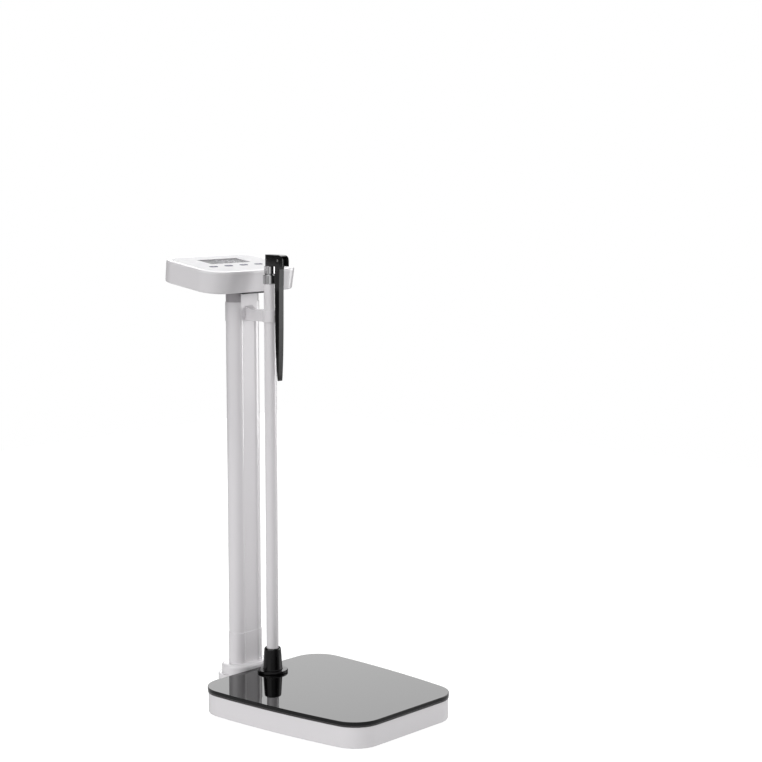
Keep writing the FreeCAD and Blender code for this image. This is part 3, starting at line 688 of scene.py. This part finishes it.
VIEW_AZIMUTH = math.radians(48.154)     # clockwise from +Y, the way the camera looks
VIEW_PITCH = math.radians(7.06)
CAMERA_PLACE = Vector((-2.8967, -2.8322, 1.2536))
LENS = 85.83
FORWARD = Vector((math.sin(VIEW_AZIMUTH), math.cos(VIEW_AZIMUTH), 0))
RIGHT = Vector((math.cos(VIEW_AZIMUTH), -math.sin(VIEW_AZIMUTH), 0))
UP = Vector((0, 0, 1))

# soft lobes of the sky: azimuth to the right of the line back to the camera, elevation, half angle
# (all degrees) and brightness
SKY_BASE = 0.047
SKY_LOBES = (
    (0, 20, 40, 0.87),
    (-45, 25, 35, 2.26),
    (0, 88, 50, 0.76),
    (90, 12, 30, 0.87),
    (115, 5, 30, 3.70),
    (190, 5, 30, 0.25),
    (180, 35, 35, 1.98),
    (-150, 5, 35, 0.16),
)
FLOOR_HALF = 3.5
FLOOR_GLOW = 0.38       # how brightly the floor lights the object
FLOOR_SEEN = 0.98       # how bright it looks

# soft key light, placed like a lobe, at a distance from the point it is aimed at
KEY_AIM = Vector((0, 0, 0.55))
KEY_AZIMUTH = -35
KEY_ELEVATION = 28
KEY_DISTANCE = 3.4
KEY_SIZE = (1.8, 2.2)
KEY_POWER = 1


def camera():
    data = bpy.data.cameras.new("camera")
    data.lens = LENS
    data.clip_end = 60
    seen = bpy.data.objects.new("camera", data)
    seen.location = CAMERA_PLACE
    seen.rotation_euler = (math.pi / 2 - VIEW_PITCH, 0, -VIEW_AZIMUTH)
    bpy.context.scene.collection.objects.link(seen)
    bpy.context.scene.camera = seen


def round_the_camera(azimuth, elevation):
    """Direction at azimuth degrees to the right of the line back to the camera."""
    a = math.radians(azimuth)
    e = math.radians(elevation)
    level = -FORWARD * math.cos(a) + RIGHT * math.sin(a)
    return level * math.cos(e) + UP * math.sin(e)


def key_light():
    place = KEY_AIM + round_the_camera(KEY_AZIMUTH, KEY_ELEVATION) * KEY_DISTANCE
    data = bpy.data.lights.new("key", "AREA")
    data.shape = "RECTANGLE"
    data.size, data.size_y = KEY_SIZE
    data.energy = KEY_POWER
    light = bpy.data.objects.new("key", data)
    light.location = place
    light.rotation_euler = (KEY_AIM - place).to_track_quat("-Z", "Y").to_euler()
    bpy.context.scene.collection.objects.link(light)


def world():
    """White to the eye; what lights the object is a dim sky with soft bright lobes."""
    made = bpy.data.worlds.new("studio")
    bpy.context.scene.world = made
    made.use_nodes = True
    tree = made.node_tree
    link = tree.links.new
    direction = tree.nodes.new("ShaderNodeTexCoord").outputs["Generated"]
    base = tree.nodes.new("ShaderNodeValue")
    total = base.outputs[0]
    total.default_value = SKY_BASE
    for azimuth, elevation, half_angle, brightness in SKY_LOBES:
        toward = tree.nodes.new("ShaderNodeVectorMath")
        toward.operation = "DOT_PRODUCT"
        toward.inputs[1].default_value = round_the_camera(azimuth, elevation)
        link(direction, toward.inputs[0])
        lobe = tree.nodes.new("ShaderNodeMapRange")
        lobe.interpolation_type = "SMOOTHSTEP"
        lobe.inputs["From Min"].default_value = math.cos(math.radians(half_angle))
        lobe.inputs["From Max"].default_value = math.cos(math.radians(half_angle / 3))
        lobe.inputs["To Max"].default_value = brightness
        link(toward.outputs["Value"], lobe.inputs["Value"])
        adder = tree.nodes.new("ShaderNodeMath")
        link(total, adder.inputs[0])
        link(lobe.outputs[0], adder.inputs[1])
        total = adder.outputs[0]
    seen = tree.nodes.new("ShaderNodeLightPath").outputs["Is Camera Ray"]
    strength = tree.nodes.new("ShaderNodeMix")
    link(seen, strength.inputs["Factor"])
    link(total, strength.inputs["A"])
    strength.inputs["B"].default_value = 1.0
    soft = tree.nodes["Background"]
    soft.inputs["Color"].default_value = (1, 1, 1, 1)
    link(strength.outputs[0], soft.inputs["Strength"])


def floor():
    """Pale floor that looks white; it lights the object by FLOOR_GLOW."""
    half = FLOOR_HALF
    mesh = bpy.data.meshes.new("floor")
    corners = [(-half, -half, 0), (half, -half, 0), (half, half, 0), (-half, half, 0)]
    mesh.from_pydata(corners, [], [(0, 1, 2, 3)])
    plane = bpy.data.objects.new("floor", mesh)
    s = Shader("floor_white", Specular_IOR_Level=0.1)
    s.main.inputs["Emission Color"].default_value = (1, 1, 1, 1)
    seen = s.add("ShaderNodeLightPath").outputs["Is Camera Ray"]
    s.feed(s.main.inputs["Emission Strength"], s.spread(seen, FLOOR_GLOW, FLOOR_SEEN, 0, 1))
    s.two_tone((0.25, 0.25, 0.25), 0.005, 1.5)
    s.rough(s.spread(s.noise(3), 0.6, 0.75))
    mesh.materials.append(s.material)
    bpy.context.scene.collection.objects.link(plane)


def studio():
    world()
    floor()
    key_light()
    camera()
    bpy.context.scene.view_settings.view_transform = "Standard"


dress()
details()
studio()
